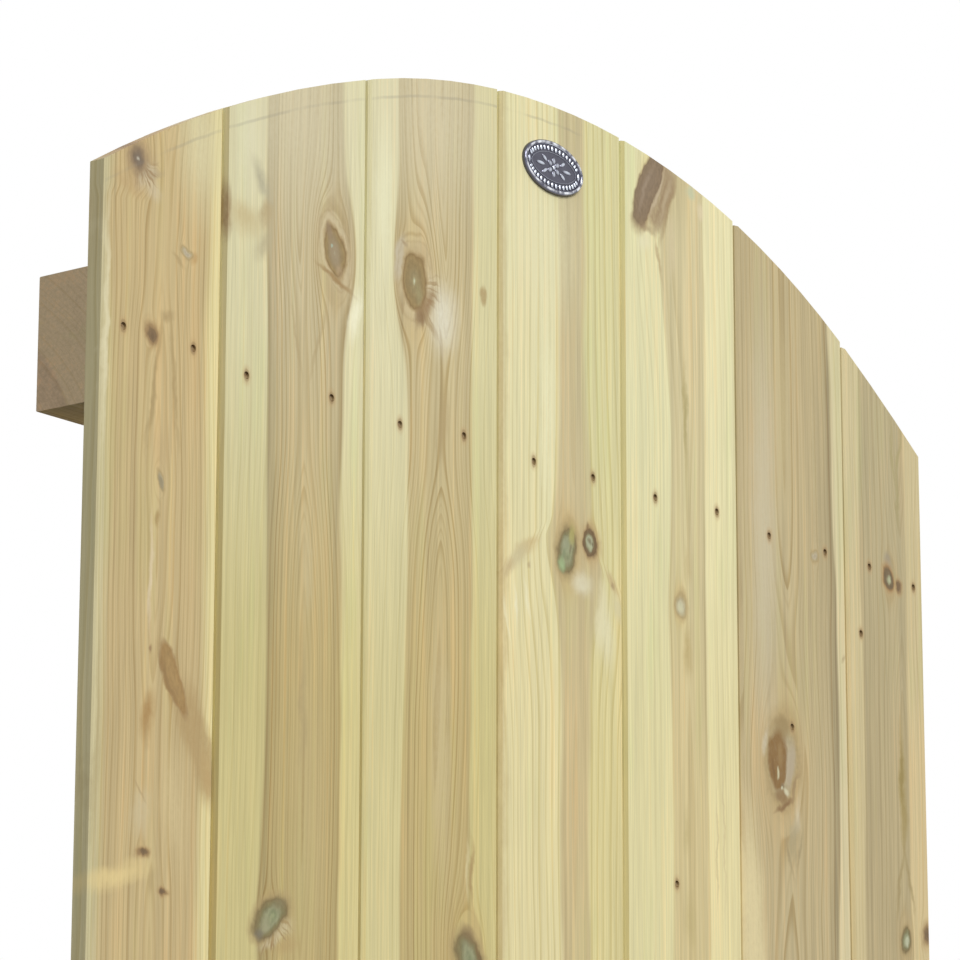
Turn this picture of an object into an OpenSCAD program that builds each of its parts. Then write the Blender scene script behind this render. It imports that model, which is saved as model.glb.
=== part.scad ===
// Arched garden gate leaf: seven V-jointed tongue and groove boards nailed to three ledges and two braces.
// Millimetres. X runs along the width, Y from the front to the back, Z up from the foot of the boards.

/* [Gate] */
// Height of the leaf at the crown of its arch
gate_h = 1800; // [1750:10:1900]

/* [Boards] */
// Face width that one full board covers
board_cover = 138; // [134:1:142]
// Face width of the first board, ripped down at the hinge side
first_board_w = 107; // [95:1:130]
// Face width of the last board, ripped down at the latch side
last_board_w = 103; // [95:1:130]
// Thickness of a board
board_t = 12; // [11.5:0.5:18]
// Width and depth of the chamfer on each front edge at a joint
joint_chamfer = 2; // [1.5:0.25:3]
// Open gap between the shoulders of two boards
joint_gap = 2.8; // [1:0.1:3.4]
// Length of a tongue
tongue_l = 7; // [6:0.5:9]
// Thickness of a tongue
tongue_t = 4; // [3:0.25:4]
// Clearance of a tongue in its groove, on each side and at the bottom
tongue_clear = 0.3; // [0.2:0.05:0.5]
// Eased corner along the outer front edges of the first and last boards
edge_ease = 1; // [0.5:0.25:2]

/* [Arch] */
// Distance of the crown from the middle of the leaf, towards the latch side
crown_x = 11; // [-20:1:20]
// Radius of the crown
crown_r = 684; // [640:2:720]
// Radius of the flatter shoulder on the hinge side
hinge_shoulder_r = 1096; // [900:4:1300]
// Distance of that shoulder's start from the crown
hinge_shoulder_start = 206; // [180:2:240]
// Radius of the flatter shoulder on the latch side
latch_shoulder_r = 1456; // [1100:4:1600]
// Distance of that shoulder's start from the crown
latch_shoulder_start = 339; // [300:2:360]

/* [Ledges and braces] */
// Height of a ledge's section
ledge_h = 82; // [70:1:95]
// Depth of a ledge's and a brace's section
ledge_t = 38; // [34:1:45]
// Distance of the top ledge's centre below the crown
top_ledge_drop = 255; // [235:5:290]
// Height of the middle ledge's centre
middle_ledge_z = 830; // [760:10:900]
// Height of the bottom ledge's centre
bottom_ledge_z = 170; // [120:5:220]
// Width of a brace
brace_w = 82; // [70:1:95]
// Distance of the middle of a brace's foot from the hinge side
brace_foot_in = 110; // [95:5:140]
// Distance of the middle of a brace's head from the latch side
brace_head_in = 81; // [78:1:120]
// Worn corner along the back edges of ledges and braces, which are left as sawn
back_ease = 0.5; // [0.25:0.25:3]

/* [Nails] */
// Length of a nail
nail_l = 45; // [40:1:46]
// Diameter of a nail's shank
nail_d = 2.8; // [2.4:0.1:3.2]
// Diameter of a nail's head
nail_head_d = 4.4; // [4:0.1:5]
// Thickness of a nail's head
nail_head_t = 1.2; // [0.8:0.1:2]
// Length of a nail's point
nail_point_l = 5; // [3:0.5:8]
// Depth of a nail's head below the face of the boards
nail_sink = 1.6; // [1:0.1:2.5]
// Clearance round a nail's head and shank
nail_clear = 0.15; // [0.1:0.05:0.25]
// Height of the nail rows above the centre of their ledge
nail_row_rise = 6; // [0:1:15]

/* [Badge] */
// Width of the oval badge
badge_w = 66; // [60:1:80]
// Height of the oval badge
badge_h = 36; // [30:1:44]
// How far the badge stands out from the boards
badge_proud = 3; // [2.5:0.25:4]
// Width of the badge's raised rim
badge_rim_w = 3; // [2:0.25:4]
// Depth of the badge's field below its rim
badge_field_depth = 1.2; // [0.8:0.1:1.5]
// Distance of the badge's centre below the crown
badge_drop = 44; // [38:1:60]
// Distance of the badge's centre from the middle of its board, negative towards the hinge side
badge_off = -12; // [-20:1:20]
// Distance between the two spikes behind the badge
spike_spacing = 44; // [30:1:50]
// Diameter of a spike
spike_d = 2; // [1.5:0.1:3]
// Length of a spike behind the badge
spike_l = 8; // [5:0.5:10]
// Clearance round a spike
spike_clear = 0.15; // [0.1:0.05:0.3]

/* [Hidden] */

board_count = 7;
// Distance of each board's two nails from its hinge-side edge and from its latch-side edge, board by board
nail_in_hinge_side = [19, 23, 34, 37, 37, 38, 31];
nail_in_latch_side = [26, 34, 38, 35, 27, 28, 12];
// How far each hand-placed nail strays up from its row
nail_stray = [1, 1, -5, -2, -5, 1, -1, 1, 1, 5, 0, 1, 1, -4];
// Shift in that list from one row to the next
stray_shift = 5;
// Distance of each brace nail from the hinge-side edge of its board, from the second board to the last but one
brace_nail_in = [75, 66, 62, 59, 64];
// Distance of a brace's last nail from the middle of its head, along X
brace_nail_end = 4;

gate_w = first_board_w + (board_count - 2) * board_cover + last_board_w;
hinge_x = -gate_w / 2;
latch_x = gate_w / 2;
depth = badge_proud + board_t + ledge_t;
face_y = badge_proud - depth / 2;
boards_back_y = face_y + board_t;
top_ledge_z = gate_h - top_ledge_drop;
brace_foot_x = hinge_x + brace_foot_in;
brace_head_x = latch_x - brace_head_in;

// Ends of each brace's centre line, as [x, z]: the foot, then the head
upper_brace_line = [[brace_foot_x, middle_ledge_z + ledge_h / 2], [brace_head_x, top_ledge_z - ledge_h / 2]];
lower_brace_line = [[brace_foot_x, bottom_ledge_z + ledge_h / 2], [brace_head_x, middle_ledge_z - ledge_h / 2]];

// Hinge-side edge of a board, counted from 0
function board_x(k) = k == 0 ? hinge_x : k == board_count ? latch_x : hinge_x + first_board_w + (k - 1) * board_cover;

function stray(i, row) = nail_stray[(i + row * stray_shift) % len(nail_stray)];

// Places of one ledge's nails, as [x, z]
function ledge_nail_places(ledge_z, row) = [for (k = [0 : board_count - 1], side = [0, 1])
    [side == 0 ? board_x(k) + nail_in_hinge_side[k] : board_x(k + 1) - nail_in_latch_side[k],
     ledge_z + nail_row_rise + stray(2 * k + side, row)]];

// Places of one brace's nails on its centre line, as [x, z]
function brace_nail_places(line) =
    let (slope = (line[1][1] - line[0][1]) / (line[1].x - line[0].x))
    [for (i = [0 : len(brace_nail_in)])
        let (x = i < len(brace_nail_in) ? board_x(i + 1) + brace_nail_in[i] : line[1].x - brace_nail_end)
        [x, line[0][1] + (x - line[0].x) * slope]];

top_nails = ledge_nail_places(top_ledge_z, 0);
middle_nails = ledge_nail_places(middle_ledge_z, 1);
bottom_nails = ledge_nail_places(bottom_ledge_z, 2);
upper_brace_nails = brace_nail_places(upper_brace_line);
lower_brace_nails = brace_nail_places(lower_brace_line);
all_nails = concat(top_nails, middle_nails, bottom_nails, upper_brace_nails, lower_brace_nails);

badge_x = board_x(3) + board_cover / 2 + badge_off;
badge_z = gate_h - badge_drop;

// Overshoot of a cutting solid past the face that it cuts
past = 1;
// Sides of a circle in a smooth preview, and round the badge
fine = 96;
oval_sides = 64;

sapwood = [0.84, 0.79, 0.58];
heartwood = [0.76, 0.65, 0.47];
ledge_wood = [0.74, 0.68, 0.52];
nail_steel = [0.33, 0.30, 0.27];
badge_chrome = [0.80, 0.82, 0.86];

// Centre of a shoulder arc that leaves the crown arc without a kink, as [x, z]
function shoulder_centre(shoulder_r, start, way) =
    let (turn = asin(start / crown_r))
    [crown_x - way * (shoulder_r - crown_r) * sin(turn), gate_h - crown_r - (shoulder_r - crown_r) * cos(turn)];

// One shoulder of the arch, from its start out past the edge of the leaf: way is -1 for hinge, 1 for latch
module shoulder(shoulder_r, start, way) {
    c = shoulder_centre(shoulder_r, start, way);
    intersection() {
        translate(c) circle(r = shoulder_r, $fn = fine * 4);
        translate([crown_x + way * start + (way < 0 ? -gate_w : 0), top_ledge_z]) square([gate_w, gate_h]);
    }
}

// Outline of the leaf seen from the front, with X across and Z up
module leaf_outline() {
    translate([-gate_w, 0]) square([2 * gate_w, top_ledge_z]);
    intersection() {
        translate([crown_x, gate_h - crown_r]) circle(r = crown_r, $fn = fine * 4);
        translate([crown_x - hinge_shoulder_start, top_ledge_z])
            square([hinge_shoulder_start + latch_shoulder_start, gate_h]);
    }
    shoulder(hinge_shoulder_r, hinge_shoulder_start, -1);
    shoulder(latch_shoulder_r, latch_shoulder_start, 1);
}

// A cylinder along Y whose front end is at the given depth
module along_y(x, z, y, d, l) {
    translate([x, y, z]) rotate([-90, 0, 0]) cylinder(d = d, h = l, $fn = fine / 4);
}

// Section of a board in X and Y: a groove on its hinge side, a tongue on its latch side
module board_section(k) {
    first = k == 0;
    last = k == board_count - 1;
    x0 = board_x(k) + (first ? 0 : joint_gap / 2);
    x1 = board_x(k + 1) - (last ? 0 : joint_gap / 2);
    ease0 = first ? edge_ease : joint_chamfer;
    ease1 = last ? edge_ease : joint_chamfer;
    tongue_y = face_y + (board_t - tongue_t) / 2;
    difference() {
        union() {
            polygon([[x0, boards_back_y], [x0, face_y + ease0], [x0 + ease0, face_y],
                [x1 - ease1, face_y], [x1, face_y + ease1], [x1, boards_back_y]]);
            if (!last) translate([x1 - past, tongue_y]) square([tongue_l + past, tongue_t]);
        }
        if (!first) translate([x0 - past, tongue_y - tongue_clear])
            square([tongue_l - joint_gap + tongue_clear + past, tongue_t + 2 * tongue_clear]);
    }
}

// Holes for the nails whose places are given, from the face into the wood behind
module nail_holes(places) {
    for (p = places) {
        along_y(p.x, p[1], face_y - past, nail_head_d + 2 * nail_clear, past + nail_sink + nail_head_t);
        along_y(p.x, p[1], face_y, nail_d + 2 * nail_clear, nail_sink + nail_l + nail_clear);
    }
}

module board(k) {
    near = [for (p = all_nails) if (p.x > board_x(k) - nail_head_d && p.x < board_x(k + 1) + tongue_l + nail_head_d) p];
    color(k % 2 == 0 ? sapwood : heartwood) difference() {
        intersection() {
            linear_extrude(gate_h) board_section(k);
            translate([0, boards_back_y + past, 0]) rotate([90, 0, 0])
                linear_extrude(board_t + 2 * past) leaf_outline();
        }
        nail_holes(near);
        if (k == 3) badge_spikes(spike_clear);
    }
}

// A ledge: a rail right across the back of the boards, eased along its back edges
module ledge(z, places) {
    y0 = boards_back_y;
    y1 = boards_back_y + ledge_t;
    z0 = z - ledge_h / 2;
    z1 = z + ledge_h / 2;
    color(ledge_wood) difference() {
        translate([hinge_x, 0, 0]) rotate([90, 0, 90]) linear_extrude(gate_w)
            polygon([[y0, z0], [y1 - back_ease, z0], [y1, z0 + back_ease],
                [y1, z1 - back_ease], [y1 - back_ease, z1], [y0, z1]]);
        nail_holes(places);
    }
}

// A brace from its foot on one ledge up to its head under the next, cut level at both ends
module brace(line, places) {
    rise = line[1][1] - line[0][1];
    run = line[1].x - line[0].x;
    angle = atan2(rise, run);
    half_cut = brace_w / 2 / sin(angle);
    overrun = brace_w / tan(angle) + past;
    length = norm([rise, run]);
    y1 = boards_back_y + ledge_t;
    color(ledge_wood) difference() {
        intersection() {
            translate([line[0].x, 0, line[0][1]]) rotate([0, -angle, 0]) translate([-overrun, 0, 0])
                rotate([90, 0, 90]) linear_extrude(length + 2 * overrun)
                polygon([[boards_back_y, -brace_w / 2], [y1 - back_ease, -brace_w / 2],
                    [y1, -brace_w / 2 + back_ease], [y1, brace_w / 2 - back_ease],
                    [y1 - back_ease, brace_w / 2], [boards_back_y, brace_w / 2]]);
            translate([line[0].x - half_cut - past, boards_back_y - past, line[0][1]])
                cube([run + 2 * half_cut + 2 * past, ledge_t + 2 * past, rise]);
        }
        nail_holes(places);
    }
}

// Sunk lost-head nails with a point, one for each place
module nails(places) {
    color(nail_steel) for (p = places) translate([p.x, face_y + nail_sink, p[1]]) rotate([-90, 0, 0]) {
        cylinder(d = nail_head_d, h = nail_head_t, $fn = fine / 4);
        cylinder(d = nail_d, h = nail_l - nail_point_l, $fn = fine / 4);
        translate([0, 0, nail_l - nail_point_l]) cylinder(d1 = nail_d, d2 = 0, h = nail_point_l, $fn = fine / 4);
    }
}

// The two spikes behind the badge, or with a clearance the holes that they are driven into
module badge_spikes(clear) {
    for (way = [-1, 1])
        along_y(badge_x + way * spike_spacing / 2, badge_z, face_y - past / 2 * sign(clear),
            spike_d + 2 * clear, spike_l + clear + past / 2 * sign(clear));
}

// An oval plate standing on the face, lessened all round by inset, between two heights above the face
module oval(inset, low, high) {
    a = badge_w / 2 - inset;
    b = badge_h / 2 - inset;
    translate([badge_x, face_y - low, badge_z]) rotate([90, 0, 0]) linear_extrude(high - low)
        polygon([for (i = [0 : oval_sides - 1]) [a * cos(i * 360 / oval_sides), b * sin(i * 360 / oval_sides)]]);
}

// A pressed oval badge with a raised rim round a sunk field, and two spikes behind it
module badge() {
    bevel = badge_rim_w / 3;
    field = badge_proud - badge_field_depth;
    color(badge_chrome) union() {
        difference() {
            union() {
                oval(0, 0, badge_proud - bevel);
                oval(bevel, badge_proud - bevel, badge_proud);
            }
            oval(badge_rim_w, field, badge_proud + past);
        }
        badge_spikes(0);
    }
}

board(0);  // board_1
board(1);  // board_2
board(2);  // board_3
board(3);  // board_4
board(4);  // board_5
board(5);  // board_6
board(6);  // board_7
ledge(top_ledge_z, top_nails);  // top_ledge
ledge(middle_ledge_z, middle_nails);  // middle_ledge
ledge(bottom_ledge_z, bottom_nails);  // bottom_ledge
brace(upper_brace_line, upper_brace_nails);  // upper_brace
brace(lower_brace_line, lower_brace_nails);  // lower_brace
nails(top_nails);  // top_ledge_nails
nails(middle_nails);  // middle_ledge_nails
nails(bottom_nails);  // bottom_ledge_nails
nails(upper_brace_nails);
nails(lower_brace_nails);
badge();
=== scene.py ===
import math
import random
from collections import namedtuple

import bmesh
import bpy
from mathutils import Matrix, Vector


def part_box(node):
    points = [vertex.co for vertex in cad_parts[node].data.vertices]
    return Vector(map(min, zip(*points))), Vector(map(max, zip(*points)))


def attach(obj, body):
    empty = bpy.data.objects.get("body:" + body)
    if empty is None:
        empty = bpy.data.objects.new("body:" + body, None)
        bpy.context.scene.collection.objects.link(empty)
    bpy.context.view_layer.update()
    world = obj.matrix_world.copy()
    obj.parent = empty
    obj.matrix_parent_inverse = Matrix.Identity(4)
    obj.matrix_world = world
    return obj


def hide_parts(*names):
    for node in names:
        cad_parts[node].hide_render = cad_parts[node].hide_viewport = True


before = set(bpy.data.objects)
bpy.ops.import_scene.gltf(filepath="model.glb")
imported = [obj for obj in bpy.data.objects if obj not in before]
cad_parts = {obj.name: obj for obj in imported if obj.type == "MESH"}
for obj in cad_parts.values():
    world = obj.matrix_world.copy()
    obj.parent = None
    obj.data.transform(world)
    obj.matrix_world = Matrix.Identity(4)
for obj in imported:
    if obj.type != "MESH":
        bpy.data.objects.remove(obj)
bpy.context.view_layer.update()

# Boards
# Seven planed matchboards of pressure-treated pine, joined by tongue and groove and set edge to edge.
# Each was sawn from near the middle of its stem, so tan heartwood runs up it between pale sapwood, and
# its knots are the branches that the saw went through. The arch was cut along a pencilled line.


class Wire:
    """A socket of a finish. Arithmetic on it adds Math nodes, and node() adds a node of any other kind."""

    def __init__(self, tree, socket):
        self.tree = tree
        self.socket = socket

    def node(self, kind, settings, inputs, output=0):
        made = self.tree.nodes.new(kind)
        for name, value in settings.items():
            if name == "stops":
                set_stops(made.color_ramp.elements, value)
            else:
                setattr(made, name, value)
        for name, value in inputs.items():
            socket = made.inputs[name]
            if isinstance(value, Wire):
                self.tree.links.new(value.socket, socket)
            elif socket.type == "RGBA":
                socket.default_value = (*value, 1.0)
            else:
                socket.default_value = value
        return Wire(self.tree, made.outputs[output])

    def other(self, output):
        return Wire(self.tree, self.socket.node.outputs[output])

    def maths(self, operation, *values):
        return self.node("ShaderNodeMath", {"operation": operation}, dict(enumerate((self, *values))))

    def __add__(self, value):
        return self.maths("ADD", value)

    __radd__ = __add__

    def __sub__(self, value):
        return self.maths("SUBTRACT", value)

    def __rsub__(self, value):
        return self.maths("MULTIPLY_ADD", -1.0, value)

    def __mul__(self, value):
        return self.maths("MULTIPLY", value)

    __rmul__ = __mul__

    def __truediv__(self, value):
        return self.maths("DIVIDE", value)

    def __rtruediv__(self, value):
        return self.maths("POWER", -1.0) * value

    def __pow__(self, value):
        return self.maths("POWER", value)


def set_stops(elements, stops):
    """Gives a colour ramp its stops: each a place, a colour and how much of it shows."""
    while len(elements) < len(stops):
        elements.new(1.0)
    for element, (place, colour, cover) in zip(elements, stops):
        element.position = place
        element.color = (*colour, cover)


def fade(value, start, end):
    """0 before start and 1 past end, with a soft step between."""
    return value.node(
        "ShaderNodeMapRange",
        {"interpolation_type": "SMOOTHSTEP"},
        {"Value": value, "From Min": start, "From Max": end},
    )


def paint(amount, under, over, way="MIX"):
    """The colour under, with the colour over laid on it where amount is 1."""
    settings = {"data_type": "RGBA", "blend_type": way}
    return amount.node("ShaderNodeMix", settings, {0: amount, 6: under, 7: over}, 2)


def shade(colour, value):
    """A colour made lighter or darker by a value."""
    return value.node("ShaderNodeVectorMath", {"operation": "SCALE"}, {"Vector": colour, "Scale": value})


def tinted(colour, tint):
    """A colour multiplied by a tint."""
    return colour.node("ShaderNodeVectorMath", {"operation": "MULTIPLY"}, {0: colour, 1: tint})


def ripple(spot, wide, deep, long, detail=1.0):
    """Smooth noise of about -1 to 1, whose waves have these sizes across, through and along the grain."""
    waves = spot.node("ShaderNodeVectorMath", {"operation": "DIVIDE"}, {0: spot, 1: (wide, deep, long)})
    noise = spot.node("ShaderNodeTexNoise", {}, {"Vector": waves, "Scale": 1.0, "Detail": detail})
    return noise.maths("MULTIPLY_ADD", 4.0, -2.0)


def distance(x, z, height_share=1.0):
    """How far a place is from x = z = 0, with its z made shorter or longer."""
    return x.maths("MULTIPLY_ADD", x, z * z * height_share) ** 0.5


def oval(across, along, form):
    """0 in the middle of a leaning oval, 1 on its edge, and more outside. A lean to the right is positive,
    and a blunt oval is nearly a rectangle with round corners."""
    lean = math.radians(form.lean)
    half_w = form.wide / 2
    half_h = form.tall / 2
    x_x = math.cos(lean) / half_w
    x_z = -math.sin(lean) / half_w
    x_start = -form.across * x_x - form.along * x_z
    z_x = math.sin(lean) / half_h
    z_z = math.cos(lean) / half_h
    z_start = -form.across * z_x - form.along * z_z
    x = across.maths("MULTIPLY_ADD", x_x, along.maths("MULTIPLY_ADD", x_z, x_start))
    z = across.maths("MULTIPLY_ADD", z_x, along.maths("MULTIPLY_ADD", z_z, z_start))
    if form.blunt:
        return distance(x * x, z * z) ** 0.5
    return distance(x, z)


Knot = namedtuple("Knot", "across along wide tall lean kind pull swell rays blunt")
Mark = namedtuple("Mark", "across along wide tall lean colour cover soft blunt")


def knot(across, along, wide, tall, lean=0.0, kind="brown", pull=1.0, swell=0.0, rays=None, blunt=False):
    """A branch cut through, in full sizes. pull is how far the grain bends round it, swell how the rings
    heap up by it, and rays the side on which short splits fan out, in degrees from the right."""
    return Knot(across, along, wide, tall, lean, kind, pull, swell, rays, blunt)


def mark(across, along, wide, tall, lean=0.0, colour=(0.4, 0.3, 0.15), cover=0.7, soft=0.7, blunt=False):
    """A stain, a streak or a pale patch with a soft edge."""
    return Mark(across, along, wide, tall, lean, colour, cover, soft, blunt)


# Each kind of knot, from its middle to twice its radius: share of that, colour, and how much it covers.
KNOT_KINDS = {
    "brown": [
        (0.00, (0.60, 0.60, 0.42), 1.0),
        (0.03, (0.46, 0.45, 0.28), 1.0),
        (0.07, (0.335, 0.27, 0.135), 1.0),
        (0.26, (0.285, 0.21, 0.095), 1.0),
        (0.40, (0.32, 0.23, 0.10), 1.0),
        (0.47, (0.25, 0.165, 0.065), 0.95),
        (0.53, (0.44, 0.32, 0.16), 0.75),
        (0.60, (0.58, 0.48, 0.30), 0.4),
        (0.69, (0.58, 0.48, 0.30), 0.35),
        (0.745, (0.44, 0.33, 0.18), 0.4),
        (0.80, (0.56, 0.46, 0.27), 0.2),
        (0.92, (0.58, 0.47, 0.27), 0.0),
    ],
    "green": [
        (0.00, (0.30, 0.32, 0.17), 1.0),
        (0.10, (0.25, 0.27, 0.14), 1.0),
        (0.24, (0.29, 0.29, 0.165), 1.0),
        (0.36, (0.22, 0.195, 0.09), 1.0),
        (0.46, (0.20, 0.15, 0.065), 0.95),
        (0.55, (0.36, 0.27, 0.125), 0.7),
        (0.75, (0.50, 0.37, 0.18), 0.0),
    ],
    "dark": [
        (0.00, (0.22, 0.18, 0.10), 1.0),
        (0.06, (0.27, 0.25, 0.145), 1.0),
        (0.15, (0.42, 0.43, 0.28), 1.0),
        (0.25, (0.27, 0.25, 0.135), 1.0),
        (0.33, (0.18, 0.125, 0.06), 1.0),
        (0.46, (0.16, 0.10, 0.045), 1.0),
        (0.54, (0.38, 0.26, 0.12), 0.75),
        (0.66, (0.50, 0.36, 0.175), 0.4),
        (0.90, (0.52, 0.40, 0.22), 0.0),
    ],
    "eye": [
        (0.00, (0.50, 0.50, 0.31), 1.0),
        (0.13, (0.40, 0.40, 0.24), 1.0),
        (0.24, (0.19, 0.14, 0.075), 1.0),
        (0.42, (0.16, 0.11, 0.055), 1.0),
        (0.54, (0.35, 0.21, 0.085), 0.9),
        (0.70, (0.50, 0.34, 0.16), 0.45),
        (0.95, (0.52, 0.40, 0.22), 0.0),
    ],
    "smoky": [
        (0.00, (0.50, 0.46, 0.37), 1.0),
        (0.04, (0.38, 0.34, 0.26), 1.0),
        (0.09, (0.20, 0.155, 0.11), 1.0),
        (0.22, (0.20, 0.145, 0.095), 0.95),
        (0.36, (0.28, 0.20, 0.12), 0.8),
        (0.58, (0.38, 0.27, 0.15), 0.45),
        (0.95, (0.50, 0.37, 0.20), 0.0),
    ],
    "pale": [
        (0.00, (0.40, 0.34, 0.24), 1.0),
        (0.20, (0.49, 0.42, 0.28), 1.0),
        (0.40, (0.44, 0.355, 0.19), 0.95),
        (0.50, (0.41, 0.30, 0.14), 0.7),
        (0.75, (0.54, 0.41, 0.21), 0.0),
    ],
    "pin": [
        (0.00, (0.16, 0.105, 0.055), 1.0),
        (0.30, (0.19, 0.12, 0.06), 0.95),
        (0.48, (0.30, 0.185, 0.08), 0.8),
        (0.72, (0.46, 0.31, 0.14), 0.4),
        (1.00, (0.52, 0.37, 0.18), 0.0),
    ],
    "spike": [
        (0.00, (0.375, 0.245, 0.10), 0.95),
        (0.32, (0.36, 0.23, 0.09), 0.95),
        (0.42, (0.325, 0.20, 0.075), 0.95),
        (0.49, (0.38, 0.255, 0.115), 0.7),
        (0.57, (0.48, 0.35, 0.17), 0.0),
    ],
    "bark": [
        (0.00, (0.26, 0.19, 0.12), 1.0),
        (0.38, (0.245, 0.175, 0.105), 1.0),
        (0.46, (0.20, 0.135, 0.075), 0.95),
        (0.51, (0.36, 0.25, 0.13), 0.6),
        (0.60, (0.58, 0.46, 0.25), 0.0),
    ],
}

# How far the grain drifts and trembles up a piece, and how much longer than wide its bend round a knot is.
GRAIN_DRIFT = 2.6
GRAIN_TREMBLE = 0.5
BEND_LENGTH = 2.1

# How far the rings heap up by a knot, as a share of its radius squared, and the width in mm past which
# a knot presses and darkens the grain.
HEAP_REACH = 2.2
DARKENING_KNOT = 11

# How sharp a flame's tip is: 1 is an arrow's point and 2 is round.
FLAME_TIP = 1.45

# How far the pith strays as it runs up a piece, and how far the rings' spacing strays.
PITH_DRIFT = 2.4
RING_DRIFT = 3.4

# Shares of a year's growth: where dark latewood starts, is full and ends, and the same for a false ring.
LATE_START, LATE_FULL, LATE_END = 0.48, 0.90, 0.93
FALSE_START, FALSE_FULL, FALSE_END = 0.18, 0.30, 0.42

# How far inside the heartwood's edges they start to darken, and where they are darkest.
RIM_START, RIM_FULL = 14, 3

# Tints that darken latewood in sapwood and in heartwood.
LATE_SAP = (0.81, 0.76, 0.62)
LATE_HEART = (0.75, 0.68, 0.56)

# Tints of the streaks and clouds along the grain, and of the grain that a knot presses.
WARM_STREAK = (1.05, 0.95, 0.88)
GREEN_STREAK = (0.93, 1.01, 0.92)
PRESSED_GRAIN = (1.0, 0.90, 0.78)

# How much each noise lightens or darkens the wood, from the finest to the broadest.
THREAD_SHADE, FIBRE_SHADE, STRIPE_SHADE, CLOUD_SHADE = 0.065, 0.08, 0.045, 0.03
HEART_STRIPE_SHADE = 0.06

# Heights between which a board's own tints change, from weathered low down to bleached at the top.
BLEACH_START, BLEACH_FULL = 1340, 1640

# Splits round a knot, the bruise and the rust round a nail, and the pencil.
SPLIT_EDGE = (0.72, 0.66, 0.47)
SPLIT_DARK = (0.31, 0.20, 0.09)
BRUISE = (0.50, 0.33, 0.15)
BRUISE_REACH = (2.6, 5.5)
RUST = (0.28, 0.185, 0.085)
RUST_REACH = (2.1, 3.3)
PENCIL = (0.27, 0.25, 0.20)

# Relief in mm: latewood stands a little proud of the planed face, and fibres roughen it.
LATE_RELIEF, FIBRE_RELIEF, THREAD_RELIEF = 0.05, 0.02, 0.015
ROUGHNESS = 0.66
PLANED_SHEEN = 0.3
SAWN_SHEEN = 0.04

front_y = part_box("board_1")[0].y * 1000
board_back_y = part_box("board_1")[1].y * 1000


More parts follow.
